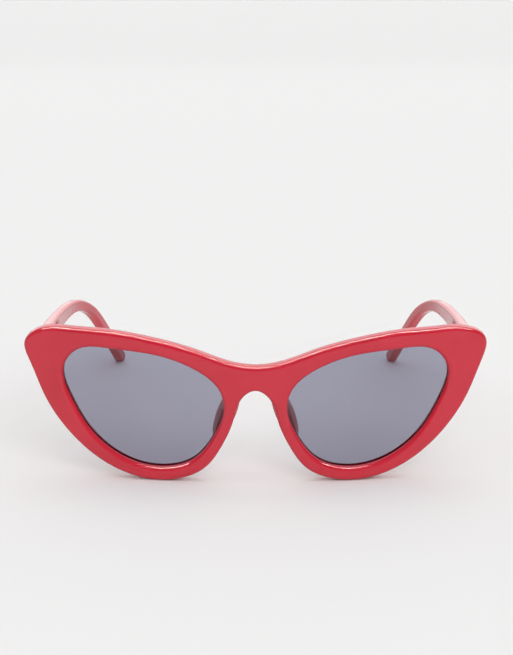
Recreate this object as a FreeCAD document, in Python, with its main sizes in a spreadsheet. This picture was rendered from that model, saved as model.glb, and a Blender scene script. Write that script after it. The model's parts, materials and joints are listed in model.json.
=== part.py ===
import FreeCAD, Part
import math
import os

# Cat eye sunglasses: a curved plate front with two lenses, two bonded nose pads and two
# five-barrel hinges that carry the wire-cored temples. +X is the wearer's left, the front
# faces -Y, the temples run back along +Y and the glasses stand on z = 0 on the lower edge
# of the rims and on the temple tips. Everything is first built in the frame of the front
# (x across, y back from the middle of the front face, z up from the lowest rim point) and
# then tipped forward until the rims and the tips touch the same plane.

V = FreeCAD.Vector
os.makedirs("parts", exist_ok=True)
doc = FreeCAD.newDocument("cat_eye_sunglasses")

# ---------------------------------------------------------------- driving sizes, in mm and degrees

SIZES = (
    ("eye_width", "50.2"),
    ("eye_height", "38.5"),
    ("bridge_gap", "19.9"),
    ("wing_width", "12.5"),
    ("rim_low", "4.35"),
    ("brow_height", "6.0"),
    ("front_thickness", "4.4"),
    ("front_radius", "240"),
    ("front_round", "1.3"),
    ("back_round", "0.9"),
    ("eye_front_round", "1.25"),
    ("eye_back_round", "0.6"),
    ("lens_thickness", "1.7"),
    ("lens_bite", "0.9"),
    ("lens_clearance", "0.05"),
    ("lens_setback", "1.3"),
    ("pad_half_length", "9.5"),
    ("pad_half_thickness", "2.0"),
    ("pad_depth", "6.2"),
    ("pad_across_rim", "0.6"),
    ("pad_splay", "24"),
    ("pantoscopic_angle", "6.4"),
    ("temple_splay", "4.65"),
    ("temple_inset", "3.0"),
    ("temple_thickness", "3.6"),
    ("temple_height", "9.0"),
    ("temple_bend_height", "4.0"),
    ("temple_tip_height", "4.4"),
    ("temple_round", "1.1"),
    ("temple_straight", "12"),
    ("temple_bow_radius", "410"),
    ("temple_bow_end", "74.6"),
    ("temple_close_bow_radius", "129"),
    ("temple_close_bow_length", "23.3"),
    ("temple_bend_centre", "98.7"),
    ("temple_bend_radius", "46.7"),
    ("temple_bend_angle", "39.4"),
    ("temple_tip_length", "49"),
    ("butt_gap", "0.08"),
    ("core_height", "2.2"),
    ("core_thickness", "1.0"),
    ("core_setback", "0.4"),
    ("core_end_margin", "9"),
    ("hinge_drop", "10.9"),
    ("hinge_land", "0.15"),
    ("block_inboard", "3.3"),
    ("barrel_radius", "1.5"),
    ("barrel_height", "1.2"),
    ("barrel_gap", "0.05"),
    ("barrel_side_gap", "0.2"),
    ("barrel_back_gap", "0.3"),
    ("leaf_margin", "0.5"),
    ("leaf_recess", "0.7"),
    ("leaf_proud", "0.3"),
    ("front_leaf_width", "4.3"),
    ("front_leaf_side_gap", "0.12"),
    ("temple_leaf_length", "10"),
    ("leaf_corner", "0.8"),
    ("stud_radius", "0.6"),
    ("front_stud_length", "1.6"),
    ("temple_stud_length", "0.6"),
    ("screw_radius", "0.7"),
    ("screw_seat_clearance", "0.02"),
    ("screw_run_clearance", "0.05"),
    ("screw_head_radius", "1.2"),
    ("screw_head_height", "0.6"),
    ("screw_end", "0.3"),
    ("slot_width", "0.3"),
    ("slot_depth", "0.36"),
)

sheet = doc.addObject("Spreadsheet::Sheet", "sizes")
for row, (alias, value) in enumerate(SIZES, start=1):
    sheet.set(f"A{row}", alias)
    sheet.set(f"B{row}", value)
    sheet.setAlias(f"B{row}", alias)
doc.recompute()
size = {alias: float(sheet.get(alias)) for alias, value in SIZES}

BARRELS = 5
REACH = 60.0          # half length of a prism or tool that has to pass right through

# ---------------------------------------------------------------- outlines of the front

# Right half of the front as shares of the half width and of the height, from the middle
# of the brow out over the wing, down round the rim and up to the nose arch.
FRONT_SHARES = (
    (0.0, 0.785), (0.110, 0.808), (0.255, 0.883), (0.440, 0.953), (0.633, 0.993), (0.799, 1.0),
    (0.929, 0.980), (1.0, 0.883), (0.978, 0.748), (0.918, 0.525), (0.798, 0.270), (0.633, 0.081),
    (0.427, 0.0), (0.317, 0.021), (0.220, 0.093), (0.149, 0.235), (0.096, 0.415), (0.058, 0.569),
    (0.0, 0.622),
)
WING_TOP = 6
ARCH_LOW, ARCH_MIDDLE, ARCH_HIGH = 15, 16, 17

# One eye opening as shares of its width and height, from its nose side over the top.
EYE_SHARES = (
    (0.0, 0.547), (0.052, 0.725), (0.171, 0.846), (0.400, 0.957), (0.699, 1.0), (0.908, 0.973),
    (1.0, 0.818), (0.958, 0.559), (0.839, 0.291), (0.639, 0.076), (0.410, 0.0), (0.191, 0.079),
    (0.050, 0.317),
)
EYE_SAMPLES = 40

half_width = size["bridge_gap"] / 2 + size["eye_width"] + size["wing_width"]
height = size["rim_low"] + size["eye_height"] + size["brow_height"]


def front_edge():
    """The outline of the front as one smooth closed line that starts on top of a wing."""
    right = [V(x * half_width, z * height, 0) for x, z in FRONT_SHARES]
    left = [V(-point.x, point.y, 0) for point in reversed(right[1:-1])]
    around = right + left
    curve = Part.BSplineCurve()
    curve.interpolate(Points=around[WING_TOP:] + around[:WING_TOP], PeriodicFlag=True)
    return curve


def eye_outline(side, grow=0.0):
    """The edge of one eye opening, or a line parallel to it that stands grow outside it."""
    points = []
    for x, z in EYE_SHARES:
        across = size["bridge_gap"] / 2 + x * size["eye_width"]
        points.append(V(side * across, size["rim_low"] + z * size["eye_height"], 0))
    curve = Part.BSplineCurve()
    curve.interpolate(Points=points, PeriodicFlag=True)
    if grow == 0:
        return curve
    span = curve.LastParameter - curve.FirstParameter
    outside = []
    for step in range(EYE_SAMPLES):
        place = curve.FirstParameter + span * step / EYE_SAMPLES
        along = curve.tangent(place)[0]
        outside.append(curve.value(place) + V(-side * along.y, side * along.x, 0) * grow)
    parallel = Part.BSplineCurve()
    parallel.interpolate(Points=outside, PeriodicFlag=True)
    return parallel


# ---------------------------------------------------------------- ways to build

def place(x=0.0, y=0.0, z=0.0, axis=V(0, 0, 1), angle=0.0):
    return FreeCAD.Placement(V(x, y, z), FreeCAD.Rotation(axis, angle))


def prism(name, plane, curves, placement=None):
    """A body that pads one sketch both ways from an origin plane, far past the part."""
    body = doc.addObject("PartDesign::Body", name)
    sketch = body.newObject("Sketcher::SketchObject", f"{name}_sketch")
    support = [item for item in body.Origin.OriginFeatures if item.Role == plane][0]
    sketch.AttachmentSupport = [(support, "")]
    sketch.MapMode = "FlatFace"
    for curve in curves:
        sketch.addGeometry(curve, False)
    pad = body.newObject("PartDesign::Pad", f"{name}_pad")
    pad.Profile = sketch
    pad.SideType = "Symmetric"
    pad.Length = 2 * REACH
    if placement:
        body.Placement = placement
    return body


def solid(kind, name, rules, placement=None):
    """A primitive whose sizes follow the sheet."""
    item = doc.addObject(f"Part::{kind}", name)
    for prop, rule in rules.items():
        item.setExpression(prop, rule)
    if placement:
        item.Placement = placement
    return item


def boolean(kind, name, base, tool):
    item = doc.addObject(f"Part::{kind}", name)
    item.Base = base
    item.Tool = tool
    return item


def fused(name, shapes):
    item = doc.addObject("Part::MultiFuse", name)
    item.Shapes = shapes
    return item


def rounded(name, base, choose):
    """Rounds the edges of base for which choose gives a radius."""
    doc.recompute()
    edges = []
    for number, edge in enumerate(base.Shape.Edges, start=1):
        radius = choose(edge)
        if radius:
            edges.append((number, radius, radius))
    item = doc.addObject("Part::Fillet", name)
    item.Base = base
    item.Edges = edges
    return item


def runs_along(edge, direction):
    """True for a straight edge parallel to direction."""
    if edge.Curve.TypeId != "Part::GeomLine":
        return False
    return abs(edge.Curve.Direction.dot(direction)) > 0.999


def wrap_cylinder(name, rule):
    """A cylinder about the upright axis that the front is bent round."""
    item = solid("Cylinder", name, {"Radius": rule, "Placement.Base.y": "sizes.front_radius"})
    item.Height = 4 * REACH
    item.Placement = place(0, size["front_radius"], -2 * REACH)
    return item


def lens_ball(name, rule):
    """A ball about the middle of the lens curve, level with the middle of the eyes."""
    middle = "sizes.rim_low + sizes.eye_height / 2"
    rules = {"Radius": rule, "Placement.Base.y": "sizes.front_radius", "Placement.Base.z": middle}
    return solid("Sphere", name, rules)


def mirrored(name, source):
    item = doc.addObject("Part::Mirroring", name)
    item.Source = source
    item.Normal = V(1, 0, 0)
    return item


# ---------------------------------------------------------------- where the hinges are

tilt = math.radians(size["pantoscopic_angle"])
splay = math.radians(size["temple_splay"])

# The hinge axis stands off the temple and off the block by a barrel and the plate let in beside it.
TO_TEMPLE = "(sizes.barrel_radius + sizes.leaf_proud + sizes.barrel_side_gap)"
TO_BLOCK = "(sizes.barrel_radius + sizes.leaf_proud + sizes.barrel_back_gap)"
hinge_to_temple = size["barrel_radius"] + size["leaf_proud"] + size["barrel_side_gap"]
hinge_to_block = size["barrel_radius"] + size["leaf_proud"] + size["barrel_back_gap"]


def rear_of_front(x):
    """How far back the rear face of the front is at x."""
    inner = size["front_radius"] - size["front_thickness"]
    return size["front_radius"] - math.sqrt(inner**2 - x**2)


# The block that carries the hinge is flush with the outside of the temple at the butt.
temple_outside = hinge_to_temple + size["temple_thickness"]
block_outboard = temple_outside / math.cos(splay) - hinge_to_block * math.tan(splay)
hinge_x = half_width - size["temple_inset"] - block_outboard
hinge_z = height - size["hinge_drop"]
lowest_block = (hinge_to_block + size["temple_height"] / 2 * math.sin(tilt)) / math.cos(tilt)
hinge_y = rear_of_front(hinge_x + block_outboard) + size["hinge_land"] + lowest_block

hinge = place(hinge_x, hinge_y, hinge_z, V(1, 0, 0), -size["pantoscopic_angle"])
temple_frame = hinge.multiply(place(axis=V(0, 0, 1), angle=-size["temple_splay"]))


def at(frame, x, y, z):
    """A place in the frame of the hinge or of the temple, without turning."""
    return frame.multiply(place(x, y, z))


# ---------------------------------------------------------------- hinge

# Each plate stands a margin past the stack of barrels above and below.
barrels_height = BARRELS * size["barrel_height"] + (BARRELS - 1) * size["barrel_gap"]
leaf_height = barrels_height + 2 * size["leaf_margin"]
LEAF_HEIGHT = (f"{BARRELS} * sizes.barrel_height + {BARRELS - 1} * sizes.barrel_gap"
               " + 2 * sizes.leaf_margin")


def barrel_low(number):
    return -barrels_height / 2 + number * (size["barrel_height"] + size["barrel_gap"])


def corners_along(direction):
    """Chooses the four corners of a plate that run through its thickness."""
    return lambda edge: runs_along(edge, direction) and size["leaf_corner"]


def knuckles(name, frame, numbers, web_rules, web_corner):
    """Barrels on the hinge axis, each with the web that joins it to its leaf."""
    pieces = []
    for number in numbers:
        low = barrel_low(number)
        rules = {"Radius": "sizes.barrel_radius", "Height": "sizes.barrel_height"}
        pieces.append(solid("Cylinder", f"{name}_barrel_{number}", rules, at(frame, 0, 0, low)))
        web_rules["Height"] = "sizes.barrel_height"
        corner = at(frame, web_corner.x, web_corner.y, low)
        pieces.append(solid("Box", f"{name}_web_{number}", web_rules, corner))
    return pieces


def bored(name, base, frame, clearance):
    """base with the hole for the screw."""
    hole = solid("Cylinder", f"{name}_bore", {"Radius": f"sizes.screw_radius + sizes.{clearance}"})
    hole.Height = 2 * leaf_height
    hole.Placement = at(frame, 0, 0, -leaf_height)
    return boolean("Cut", name, base, hole)


def front_leaf():
    """Plate let into the block, two studs in it, and barrels 0, 2 and 4."""
    face = -hinge_to_block
    width = size["front_leaf_width"]
    butt_inside = hinge_to_temple / math.cos(splay) - hinge_to_block * math.tan(splay)
    left = butt_inside - size["front_leaf_side_gap"] - width
    rules = {
        "Length": "sizes.front_leaf_width",
        "Width": "sizes.leaf_recess + sizes.leaf_proud",
        "Height": LEAF_HEIGHT,
    }
    corner = at(hinge, left, face - size["leaf_recess"], -leaf_height / 2)
    box = solid("Box", "front_leaf_box", rules, corner)
    along = hinge.Rotation.multVec(V(0, 1, 0))
    plate = rounded("front_leaf_plate", box, corners_along(along))
    pieces = [plate]
    for number, sign in enumerate((-1, 1)):
        rules = {"Radius": "sizes.stud_radius", "Height": "sizes.front_stud_length"}
        start = place(left + width / 2, face - size["leaf_recess"], sign * leaf_height / 4)
        stud = hinge.multiply(start).multiply(place(axis=V(1, 0, 0), angle=90))
        pieces.append(solid("Cylinder", f"front_stud_{number}", rules, stud))
    web = {"Length": "2 * sizes.barrel_radius", "Width": TO_BLOCK}
    corner = V(-size["barrel_radius"], face, 0)
    pieces += knuckles("front_leaf", hinge, (0, 2, 4), web, corner)
    return bored("front_leaf", fused("front_leaf_blank", pieces), hinge, "screw_seat_clearance")


def temple_leaf():
    """Plate let into the inside of the temple, two studs in it, and barrels 1 and 3."""
    face = hinge_to_temple
    rules = {
        "Length": "sizes.leaf_recess + sizes.leaf_proud",
        "Width": "sizes.temple_leaf_length",
        "Height": LEAF_HEIGHT,
    }
    front = -size["barrel_radius"]
    corner = at(temple_frame, face - size["leaf_proud"], front, -leaf_height / 2)
    box = solid("Box", "temple_leaf_box", rules, corner)
    along = temple_frame.Rotation.multVec(V(1, 0, 0))
    plate = rounded("temple_leaf_plate", box, corners_along(along))
    pieces = [plate]
    for number, share in enumerate((0.45, 0.8)):
        rules = {"Radius": "sizes.stud_radius", "Height": "sizes.temple_stud_length"}
        start = place(face + size["leaf_recess"], front + share * size["temple_leaf_length"], 0)
        turn = place(axis=V(0, 1, 0), angle=90)
        stud = temple_frame.multiply(start).multiply(turn)
        pieces.append(solid("Cylinder", f"temple_stud_{number}", rules, stud))
    web = {"Length": TO_TEMPLE, "Width": "2 * sizes.barrel_radius"}
    corner = V(0, -size["barrel_radius"], 0)
    pieces += knuckles("temple_leaf", temple_frame, (1, 3), web, corner)
    return bored("temple_leaf", fused("temple_leaf_blank", pieces), temple_frame, "screw_run_clearance")


def screw():
    """Slotted screw whose domed head sits on the top barrel."""
    seat = barrels_height / 2
    end = -seat - size["screw_end"]
    top = seat + size["screw_head_height"]
    rim = seat + size["screw_head_height"] / 2
    shank = size["screw_radius"]
    head = size["screw_head_radius"]
    corners = (V(0, end, 0), V(shank, end, 0), V(shank, seat, 0), V(head, seat, 0), V(head, rim, 0))
    lines = [Part.LineSegment(a, b) for a, b in zip(corners, corners[1:])]
    dome = (head**2 + (top - rim) ** 2) / (2 * (top - rim))
    halfway = math.asin(head / dome) / 2
    crown = V(dome * math.sin(halfway), top - dome * (1 - math.cos(halfway)), 0)
    lines.append(Part.Arc(V(head, rim, 0), crown, V(0, top, 0)))
    lines.append(Part.LineSegment(V(0, top, 0), V(0, end, 0)))
    body = doc.addObject("PartDesign::Body", "screw_turned")
    sketch = body.newObject("Sketcher::SketchObject", "screw_sketch")
    support = [item for item in body.Origin.OriginFeatures if item.Role == "XZ_Plane"][0]
    sketch.AttachmentSupport = [(support, "")]
    sketch.MapMode = "FlatFace"
    for line in lines:
        sketch.addGeometry(line, False)
    turned = body.newObject("PartDesign::Revolution", "screw_revolution")
    turned.Profile = sketch
    turned.ReferenceAxis = (sketch, ["V_Axis"])
    turned.Angle = 360
    body.Placement = hinge
    rules = {
        "Length": "4 * sizes.screw_head_radius",
        "Width": "sizes.slot_width",
        "Height": "2 * sizes.slot_depth",
    }
    corner = at(hinge, -2 * head, -size["slot_width"] / 2, top - size["slot_depth"])
    slot = solid("Box", "screw_slot", rules, corner)
    return boolean("Cut", "screw", body, slot)


# ---------------------------------------------------------------- front

def front_blank():
    """The outline with both eye openings, bent round the wrap axis, with its edges rounded."""
    curves = [front_edge(), eye_outline(1), eye_outline(-1)]
    outline = prism("front_outline", "XZ_Plane", curves)
    outside = wrap_cylinder("front_face_cylinder", "sizes.front_radius")
    inside = wrap_cylinder("rear_face_cylinder", "sizes.front_radius - sizes.front_thickness")
    bent = boolean("Common", "front_bent", outline, boolean("Cut", "front_ring", outside, inside))
    axis = V(0, size["front_radius"], 0)
    middle = size["front_radius"] - size["front_thickness"] / 2

    def radius(edge):
        if edge.BoundBox.DiagonalLength < 2 * size["front_thickness"]:
            return None
        point = edge.valueAt((edge.FirstParameter + edge.LastParameter) / 2)
        in_front = math.hypot(point.x - axis.x, point.y - axis.y) > middle
        if edge.BoundBox.XLength < size["eye_width"] + 1:
            return size["eye_front_round"] if in_front else size["eye_back_round"]
        return size["front_round"] if in_front else size["back_round"]

    return rounded("front_rounded", bent, radius)


def hinge_block():
    """The raised block behind the wing. Its rear face is square to the temple."""
    rules = {
        "Length": f"sizes.block_inboard + {block_outboard}",
        "Width": "2 * sizes.front_thickness",
        "Height": "sizes.temple_height",
    }
    front = -hinge_to_block - 2 * size["front_thickness"]
    corner = at(hinge, -size["block_inboard"], front, -size["temple_height"] / 2)
    box = solid("Box", "block_box", rules, corner)
    along = hinge.Rotation.multVec(V(0, 1, 0))
    soft = rounded("block_rounded", box, lambda edge: runs_along(edge, along) and size["temple_round"])
    inside = wrap_cylinder("block_trim", "sizes.front_radius - sizes.front_thickness / 2")
    return boolean("Common", "hinge_block", soft, inside)


def lens_shell(name, clearance):
    """The space between the two lens curves, widened by a clearance on each side."""
    outer = lens_ball(f"{name}_outer", f"sizes.front_radius - sizes.lens_setback + {clearance}")
    back = f"sizes.front_radius - sizes.lens_setback - sizes.lens_thickness - {clearance}"
    return boolean("Cut", name, outer, lens_ball(f"{name}_inner", back))


def lens():
    edge = prism("lens_edge", "XZ_Plane", [eye_outline(1, size["lens_bite"])])
    return boolean("Common", "lens", edge, lens_shell("lens_shell", "0"))


def lens_groove():
    grow = size["lens_bite"] + size["lens_clearance"]
    edge = prism("groove_edge", "XZ_Plane", [eye_outline(1, grow)])
    return boolean("Common", "lens_groove", edge, lens_shell("groove_shell", "sizes.lens_clearance"))


def nose_pad(front):
    """Bonded pad on the back of the rim beside the nose arch, leaning out as it goes back."""
    arch = [V(FRONT_SHARES[i][0] * half_width, FRONT_SHARES[i][1] * height, 0)
            for i in (ARCH_LOW, ARCH_MIDDLE, ARCH_HIGH)]
    eye = eye_outline(1)
    middle = arch[1] + (eye.value(eye.parameter(arch[1])) - arch[1]) * size["pad_across_rim"]
    lean = math.degrees(math.atan2(arch[0].x - arch[2].x, arch[2].y - arch[0].y))
    rules = {
        "Radius1": "sizes.pad_half_length",
        "Radius2": "sizes.pad_half_thickness",
        "Radius3": "sizes.pad_depth",
    }
    spot = place(middle.x, rear_of_front(middle.x), middle.y, V(0, 1, 0), -lean)
    turned = spot.multiply(place(axis=V(0, 0, 1), angle=-size["pad_splay"]))
    drop = solid("Ellipsoid", "pad_drop", rules, turned)
    bond = wrap_cylinder("pad_bond", "sizes.front_radius - sizes.front_thickness + sizes.eye_back_round")
    return boolean("Cut", "nose_pad", boolean("Common", "pad_blank", drop, bond), front)


# ---------------------------------------------------------------- temple

bend = math.radians(size["temple_bend_angle"])
bend_tangent = size["temple_bend_radius"] * math.tan(bend / 2)
bend_start = size["temple_bend_centre"] - bend_tangent
bend_end = bend_start + size["temple_bend_radius"] * bend
temple_end = bend_end + size["temple_tip_length"] - bend_tangent
butt = -hinge_to_block + size["butt_gap"]


def centre_line(s_along):
    """Point and direction of the middle of the temple, seen from the side."""
    if s_along <= bend_start:
        return V(s_along, 0, 0), V(1, 0, 0)
    turn = min(s_along - bend_start, bend_end - bend_start) / size["temple_bend_radius"]
    radius = size["temple_bend_radius"]
    point = V(bend_start + radius * math.sin(turn), -radius * (1 - math.cos(turn)), 0)
    ahead = V(math.cos(turn), -math.sin(turn), 0)
    return point + ahead * max(0, s_along - bend_end), ahead


def temple_half_height(s_along):
    """Half height of the temple: it narrows to the bend and swells a little to the tip."""
    middle = (bend_start + bend_end) / 2
    thin = size["temple_bend_height"]
    if s_along <= middle:
        share = 1 - max(0, s_along) / middle
        return (thin + share * (size["temple_height"] - thin)) / 2
    share = (s_along - middle) / (temple_end - middle)
    return (thin + share * (size["temple_tip_height"] - thin)) / 2


def side_profile(name, start, end, half_height, round_end):
    """The temple or its core seen from the side, as a prism across it."""
    tip = half_height(end) if round_end else 0
    stops = [start, 0, bend_start * 0.35, bend_start * 0.7, bend_start]
    stops += [bend_start + (bend_end - bend_start) * share for share in (0.25, 0.5, 0.75, 1)]
    stops += [(bend_end + end - tip) / 2, end - tip]
    upper = []
    lower = []
    for stop in stops:
        point, ahead = centre_line(stop)
        aside = V(-ahead.y, ahead.x, 0) * half_height(stop)
        upper.append(point + aside)
        lower.append(point - aside)
    ahead = centre_line(end)[1]
    curves = []
    for points in (upper, lower):
        edge = Part.BSplineCurve()
        edge.interpolate(Points=points, InitialTangent=V(1, 0, 0), FinalTangent=ahead)
        curves.append(edge)
    if round_end:
        curves.append(Part.Arc(upper[-1], centre_line(end)[0], lower[-1]))
    else:
        curves.append(Part.LineSegment(upper[-1], lower[-1]))
    curves.append(Part.LineSegment(upper[0], lower[0]))
    return prism(name, "YZ_Plane", curves, temple_frame)


def plan_profile(name, thickness):
    """The temple or its core seen from above: a straight, a long bow, a closer bow, a straight tip."""
    middle = hinge_to_temple + size["temple_thickness"] / 2
    start = -2 * hinge_to_block
    straight = size["temple_straight"]
    bow = size["temple_bow_radius"]
    close_bow = size["temple_close_bow_radius"]
    turn = (size["temple_bow_end"] - straight) / bow
    end_turn = turn + size["temple_close_bow_length"] / close_bow
    bow_centre = V(middle - bow, straight, 0)
    close_centre = bow_centre + V(math.cos(turn), math.sin(turn), 0) * (bow - close_bow)
    tip_run = temple_end - size["temple_bow_end"] - size["temple_close_bow_length"]
    tip_ahead = V(-math.sin(end_turn), math.cos(end_turn), 0)
    curves = []
    ends = []
    for off in (-thickness / 2, thickness / 2):
        first = V(middle + off, start, 0)
        curves.append(Part.LineSegment(first, V(middle + off, straight, 0)))
        curves.append(Part.ArcOfCircle(Part.Circle(bow_centre, V(0, 0, 1), bow + off), 0, turn))
        circle = Part.Circle(close_centre, V(0, 0, 1), close_bow + off)
        curves.append(Part.ArcOfCircle(circle, turn, end_turn))
        bow_out = curves[-1].EndPoint
        last = bow_out + tip_ahead * tip_run
        curves.append(Part.LineSegment(bow_out, last))
        ends.append((first, last))
    curves.append(Part.LineSegment(ends[0][0], ends[1][0]))
    curves.append(Part.LineSegment(ends[0][1], ends[1][1]))
    return prism(name, "XY_Plane", curves, temple_frame)


def trimmed(name, base, limit):
    """base without what lies in front of a plane that is parallel to the block's face."""
    tool = doc.addObject("Part::Box", f"{name}_trim")
    tool.Length = 2 * REACH
    tool.Width = REACH
    tool.Height = 2 * REACH
    tool.Placement = at(hinge, -REACH, limit - REACH, -REACH)
    return boolean("Cut", name, base, tool)


def core_blank():
    side = side_profile("core_side", -2 * hinge_to_block, temple_end - size["core_end_margin"],
                        lambda s_along: size["core_height"] / 2, False)
    return boolean("Common", "core_blank", side, plan_profile("core_plan", size["core_thickness"]))


def temple(core, leaf):
    """The arm with its edges rounded, its butt cut to meet the block, and its channel and recess."""
    side = side_profile("temple_side", -2 * hinge_to_block, temple_end, temple_half_height, True)
    sharp = boolean("Common", "temple_sharp", side, plan_profile("temple_plan", size["temple_thickness"]))
    across = temple_frame.Rotation.multVec(V(1, 0, 0))
    upright = temple_frame.Rotation.multVec(V(0, 0, 1))

    def radius(edge):
        if runs_along(edge, across) or runs_along(edge, upright):
            return None
        return size["temple_round"]

    arm = trimmed("temple_arm", rounded("temple_rounded", sharp, radius), butt)
    return boolean("Cut", "temple", boolean("Cut", "temple_with_channel", arm, core), leaf)


# ---------------------------------------------------------------- build everything

left_front_leaf = front_leaf()
left_temple_leaf = temple_leaf()
left_screw = screw()
left_lens = lens()
groove = lens_groove()
block = hinge_block()
blank = front_blank()
with_blocks = fused("front_with_blocks", [blank, block, mirrored("right_block", block)])
cutters = [groove, mirrored("right_groove", groove)]
cutters += [left_front_leaf, mirrored("right_leaf_recess", left_front_leaf)]
front = boolean("Cut", "front", with_blocks, fused("front_cutters", cutters))
left_pad = nose_pad(blank)
whole_core = core_blank()
left_temple = temple(whole_core, left_temple_leaf)
left_core = trimmed("core", whole_core, butt + size["core_setback"])
doc.recompute()

# ---------------------------------------------------------------- stand it on its rims and tips

SURFACE_STEP = 0.02
front_points = front.Shape.tessellate(SURFACE_STEP)[0]
temple_points = left_temple.Shape.tessellate(SURFACE_STEP)[0]


def lowest(points, lean):
    return min(point.y * math.sin(lean) + point.z * math.cos(lean) for point in points)


def standing_lean():
    """The forward lean at which the rims and the temple tips are level."""
    low, high = 0.0, math.radians(20)
    for attempt in range(40):
        lean = (low + high) / 2
        if lowest(front_points, lean) > lowest(temple_points, lean):
            low = lean
        else:
            high = lean
    return lean


lean = standing_lean()
every_point = front_points + temple_points
depths = [point.y * math.cos(lean) - point.z * math.sin(lean) for point in every_point]
centre = (min(depths) + max(depths)) / 2
stand = place(0, -centre, -lowest(front_points, lean), V(1, 0, 0), math.degrees(lean))

# ---------------------------------------------------------------- sub-parts

sub_parts = []


def sub_part(label, kind, source):
    item = doc.addObject(kind, f"{label}_part")
    item.Source = source
    if kind == "Part::Mirroring":
        item.Normal = V(1, 0, 0)
    item.Label = label
    item.Placement = stand
    sub_parts.append(item)


sub_part("frame_front", "Part::Refine", front)
PAIRS = (
    ("lens", left_lens),
    ("nose_pad", left_pad),
    ("hinge_front_leaf", left_front_leaf),
    ("hinge_screw", left_screw),
    ("hinge_temple_leaf", left_temple_leaf),
    ("temple", left_temple),
    ("temple_core", left_core),
)
for name, source in PAIRS:
    sub_part(f"{name}_left", "Part::Refine", source)
    sub_part(f"{name}_right", "Part::Mirroring", source)
doc.recompute()

for item in doc.Objects:
    if "Invalid" in item.State or "Error" in item.State:
        raise RuntimeError(f"{item.Label} failed: {item.State}")
for item in sub_parts:
    shape = item.Shape
    if shape.isNull() or not shape.isValid() or len(shape.Solids) != 1:
        raise RuntimeError(f"{item.Label} is not one valid solid")

for item in sub_parts:
    item.Shape.exportStep(f"parts/{item.Label}.step")

hinge_in_row = stand.multiply(hinge)
print("lean", round(math.degrees(lean), 3), "hinge", hinge_in_row.Base)
print("axis", hinge_in_row.Rotation.multVec(V(0, 0, 1)))
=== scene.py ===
import bpy
import json
import math
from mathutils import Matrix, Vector

# Cat eye sunglasses. The CAD nodes keep their shapes. This script gives them their materials and
# sets the floor, the studio light and the camera. Lengths are in metres and angles in degrees.

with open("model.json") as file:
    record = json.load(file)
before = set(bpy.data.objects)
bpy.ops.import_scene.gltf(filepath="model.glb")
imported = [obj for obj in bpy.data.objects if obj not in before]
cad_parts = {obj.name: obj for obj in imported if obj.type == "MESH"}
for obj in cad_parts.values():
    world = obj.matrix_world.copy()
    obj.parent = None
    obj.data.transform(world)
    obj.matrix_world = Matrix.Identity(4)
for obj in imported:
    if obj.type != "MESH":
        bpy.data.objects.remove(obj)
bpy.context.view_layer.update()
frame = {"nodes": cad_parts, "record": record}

PLASTIC_IOR = 1.54
PLASTIC_DEEP = (0.51, 0.014, 0.032)
PLASTIC_LIGHT = (0.56, 0.017, 0.037)
BUFFING_DEPTH = 0.00001

LENS_IOR = 1.5
LENS_DEEP = (0.595, 0.595, 0.665)
LENS_LIGHT = (0.61, 0.61, 0.68)

METAL_GRAIN_DEPTH = 0.00002
METAL_DARKENING = 0.8

FLOOR_HALF_SIZE = 12.0
FLOOR_COLOUR = (0.755, 0.752, 0.748)
DARK_ROOM = (0.14, 0.14, 0.143)
PALE_BACKDROP = (1.1, 1.1, 1.1)

CAMERA_PLACE = (0.0003, -0.5375, 0.1617)
CAMERA_PITCH = 13.54
CAMERA_LENS_MM = 85.1
CAMERA_SENSOR_MM = 36


# ------------------------------------------------------------------ node helpers

def new_material(name):
    """An empty node material, its node tree and its output node."""
    material = bpy.data.materials.new(name)
    material.use_nodes = True
    tree = material.node_tree
    tree.nodes.clear()
    output = tree.nodes.new("ShaderNodeOutputMaterial")
    return material, tree, output


def add(tree, kind, **values):
    """A node with some of its properties or inputs set by name."""
    node = tree.nodes.new(kind)
    for key, value in values.items():
        if hasattr(node, key):
            setattr(node, key, value)
        else:
            node.inputs[key.replace("_", " ")].default_value = value
    return node


def object_place(tree):
    """The point of the surface in the object's own space."""
    return add(tree, "ShaderNodeTexCoord").outputs["Object"]


def noise(tree, place, scale, detail, stretch=None):
    """Fractal noise in object space, squeezed by the shares in stretch if they are given."""
    if stretch:
        mapping = add(tree, "ShaderNodeMapping")
        mapping.inputs["Scale"].default_value = stretch
        tree.links.new(place, mapping.inputs["Vector"])
        place = mapping.outputs["Vector"]
    node = add(tree, "ShaderNodeTexNoise", Scale=scale, Detail=detail)
    tree.links.new(place, node.inputs["Vector"])
    return node.outputs["Fac"]


def ranged(tree, value, low, high, start=0.3, end=0.7):
    """value from start to end, mapped to low to high."""
    node = add(tree, "ShaderNodeMapRange")
    node.inputs["From Min"].default_value = start
    node.inputs["From Max"].default_value = end
    node.inputs["To Min"].default_value = low
    node.inputs["To Max"].default_value = high
    tree.links.new(value, node.inputs["Value"])
    return node.outputs["Result"]


def blend_colour(tree, factor, first, second):
    """The colour first where factor is 0 and second where it is 1."""
    node = add(tree, "ShaderNodeMix", data_type="RGBA")
    tree.links.new(factor, node.inputs["Factor"])
    for socket, colour in (("A", first), ("B", second)):
        target = [item for item in node.inputs if item.name == socket and item.type == "RGBA"][0]
        target.default_value = (*colour, 1)
    return [item for item in node.outputs if item.type == "RGBA"][0]


def roughen(tree, shader, height, strength, depth):
    """Fine relief on a shader, from a height between 0 and 1."""
    bump = add(tree, "ShaderNodeBump", Strength=strength, Distance=depth)
    tree.links.new(height, bump.inputs["Height"])
    tree.links.new(bump.outputs["Normal"], shader.inputs["Normal"])


# ------------------------------------------------------------------ materials

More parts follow.
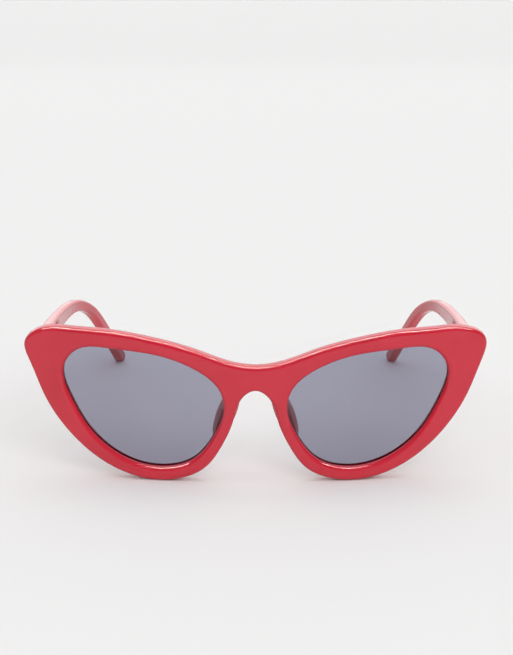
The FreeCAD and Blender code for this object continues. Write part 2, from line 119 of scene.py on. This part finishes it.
def red_acetate():
    """Glossy opaque plastic with faint clouds in its colour and a buffed surface."""
    material, tree, output = new_material("red_acetate")
    place = object_place(tree)
    shader = add(tree, "ShaderNodeBsdfPrincipled", IOR=PLASTIC_IOR)
    clouds = noise(tree, place, scale=60, detail=4)
    colour = blend_colour(tree, ranged(tree, clouds, 0, 1), PLASTIC_DEEP, PLASTIC_LIGHT)
    tree.links.new(colour, shader.inputs["Base Color"])
    buffing = noise(tree, place, scale=900, detail=5)
    tree.links.new(ranged(tree, buffing, 0.04, 0.09), shader.inputs["Roughness"])
    roughen(tree, shader, noise(tree, place, scale=2500, detail=2), 0.04, BUFFING_DEPTH)
    tree.links.new(shader.outputs["BSDF"], output.inputs["Surface"])
    return material


def lens_tint():
    """Tinted clear plastic that mirrors more at a glancing angle."""
    material, tree, output = new_material("lens_tint")
    clear = add(tree, "ShaderNodeBsdfTransparent")
    smoke = noise(tree, object_place(tree), scale=30, detail=2)
    tint = blend_colour(tree, ranged(tree, smoke, 0, 1), LENS_DEEP, LENS_LIGHT)
    tree.links.new(tint, clear.inputs["Color"])
    gloss = add(tree, "ShaderNodeBsdfGlossy", Roughness=0.02)
    fresnel = add(tree, "ShaderNodeFresnel", IOR=LENS_IOR)
    # The light leaves through a back face, which must not mirror it back into the lens.
    leaving = add(tree, "ShaderNodeNewGeometry").outputs["Backfacing"]
    entering = add(tree, "ShaderNodeMath", operation="SUBTRACT")
    entering.inputs[0].default_value = 1.0
    tree.links.new(leaving, entering.inputs[1])
    mirror = add(tree, "ShaderNodeMath", operation="MULTIPLY")
    tree.links.new(fresnel.outputs["Fac"], mirror.inputs[0])
    tree.links.new(entering.outputs["Value"], mirror.inputs[1])
    mix = add(tree, "ShaderNodeMixShader")
    tree.links.new(mirror.outputs["Value"], mix.inputs["Fac"])
    tree.links.new(clear.outputs["BSDF"], mix.inputs[1])
    tree.links.new(gloss.outputs["BSDF"], mix.inputs[2])
    tree.links.new(mix.outputs["Shader"], output.inputs["Surface"])
    return material


def metal(name, base, smooth, rough, stretch):
    """Metal with a drawn grain in its colour, its relief and its roughness, from smooth to rough."""
    material, tree, output = new_material(name)
    shader = add(tree, "ShaderNodeBsdfPrincipled", Metallic=1.0)
    grain = noise(tree, object_place(tree), scale=900, detail=4, stretch=stretch)
    dark = tuple(channel * METAL_DARKENING for channel in base)
    tree.links.new(blend_colour(tree, ranged(tree, grain, 0, 1), dark, base), shader.inputs["Base Color"])
    tree.links.new(ranged(tree, grain, smooth, rough), shader.inputs["Roughness"])
    roughen(tree, shader, grain, 0.15, METAL_GRAIN_DEPTH)
    tree.links.new(shader.outputs["BSDF"], output.inputs["Surface"])
    return material


MATERIALS = {
    "red_acetate": red_acetate(),
    "lens_tint": lens_tint(),
    "hinge_steel": metal("hinge_steel", (0.62, 0.60, 0.56), smooth=0.25, rough=0.4, stretch=(1, 1, 12)),
    "screw_steel": metal("screw_steel", (0.70, 0.70, 0.70), smooth=0.15, rough=0.3, stretch=(8, 8, 1)),
    "core_wire": metal("core_wire", (0.62, 0.58, 0.50), smooth=0.3, rough=0.45, stretch=(6, 1, 6)),
}

slot_of = {item["node"]: item["material_slot"] for item in frame["record"]["subparts"]}
for name, node in frame["nodes"].items():
    node.data.materials.clear()
    node.data.materials.append(MATERIALS[slot_of[name]])


# ------------------------------------------------------------------ stage

def floor():
    half = FLOOR_HALF_SIZE
    mesh = bpy.data.meshes.new("floor")
    corners = [(-half, -half, 0), (half, -half, 0), (half, half, 0), (-half, half, 0)]
    mesh.from_pydata(corners, [], [(0, 1, 2, 3)])
    thing = bpy.data.objects.new("floor", mesh)
    bpy.context.scene.collection.objects.link(thing)
    material, tree, output = new_material("pale_floor")
    shader = add(tree, "ShaderNodeBsdfPrincipled", Roughness=0.8)
    shader.inputs["Base Color"].default_value = (*FLOOR_COLOUR, 1)
    shader.inputs["Specular IOR Level"].default_value = 0.2
    tree.links.new(shader.outputs["BSDF"], output.inputs["Surface"])
    mesh.materials.append(material)


def studio_sky():
    """A pale backdrop behind and a dark room in front and overhead, which the gloss shows."""
    world = bpy.data.worlds.new("studio")
    bpy.context.scene.world = world
    world.use_nodes = True
    tree = world.node_tree
    tree.nodes.clear()
    ray = add(tree, "ShaderNodeTexCoord").outputs["Generated"]
    split = add(tree, "ShaderNodeSeparateXYZ")
    tree.links.new(ray, split.inputs["Vector"])
    backdrop = ranged(tree, split.outputs["Y"], 0.0, 1.0, start=0.1, end=0.8)
    light = blend_colour(tree, backdrop, DARK_ROOM, PALE_BACKDROP)
    background = add(tree, "ShaderNodeBackground", Strength=1.0)
    tree.links.new(light, background.inputs["Color"])
    output = add(tree, "ShaderNodeOutputWorld")
    tree.links.new(background.outputs["Background"], output.inputs["Surface"])


def lamp(name, kind, place, target, energy):
    """A light at place that points at target."""
    light = bpy.data.lights.new(name, kind)
    light.energy = energy
    thing = bpy.data.objects.new(name, light)
    thing.location = place
    thing.rotation_euler = (Vector(target) - Vector(place)).to_track_quat("-Z", "Y").to_euler()
    bpy.context.scene.collection.objects.link(thing)
    return thing


def card(name, place, target, width, depth, energy):
    """A bright panel that only shows in the gloss of the plastic and the lenses."""
    thing = lamp(name, "AREA", place, target, energy)
    thing.data.shape = "RECTANGLE"
    thing.data.size = width
    thing.data.size_y = depth
    thing.visible_diffuse = False


def soft_sun(name, place, spread, energy):
    """Even soft light on the object and the floor that leaves no image of itself in the gloss."""
    thing = lamp(name, "SUN", place, (0, 0, 0), energy)
    thing.data.angle = math.radians(spread)
    thing.visible_glossy = False


def camera():
    lens = bpy.data.cameras.new("camera")
    lens.sensor_width = CAMERA_SENSOR_MM
    lens.lens = CAMERA_LENS_MM
    thing = bpy.data.objects.new("camera", lens)
    thing.location = CAMERA_PLACE
    thing.rotation_euler = (math.radians(90 - CAMERA_PITCH), 0, 0)
    bpy.context.scene.collection.objects.link(thing)
    bpy.context.scene.camera = thing


floor()
studio_sky()
card("strip", place=(0, -0.14, 0.9), target=(0, -0.06, 0.03), width=1.8, depth=0.05, energy=34.0)
card("back_card", place=(0, 1.6, 0.7), target=(0, 0, 0.03), width=4.0, depth=1.4, energy=7.0)
soft_sun("front_fill", place=(0.35, -1.2, 0.62), spread=45, energy=1.40)
soft_sun("overhead", place=(0.05, -0.25, 1.0), spread=90, energy=1.88)
camera()
bpy.context.scene.view_settings.view_transform = "Standard"
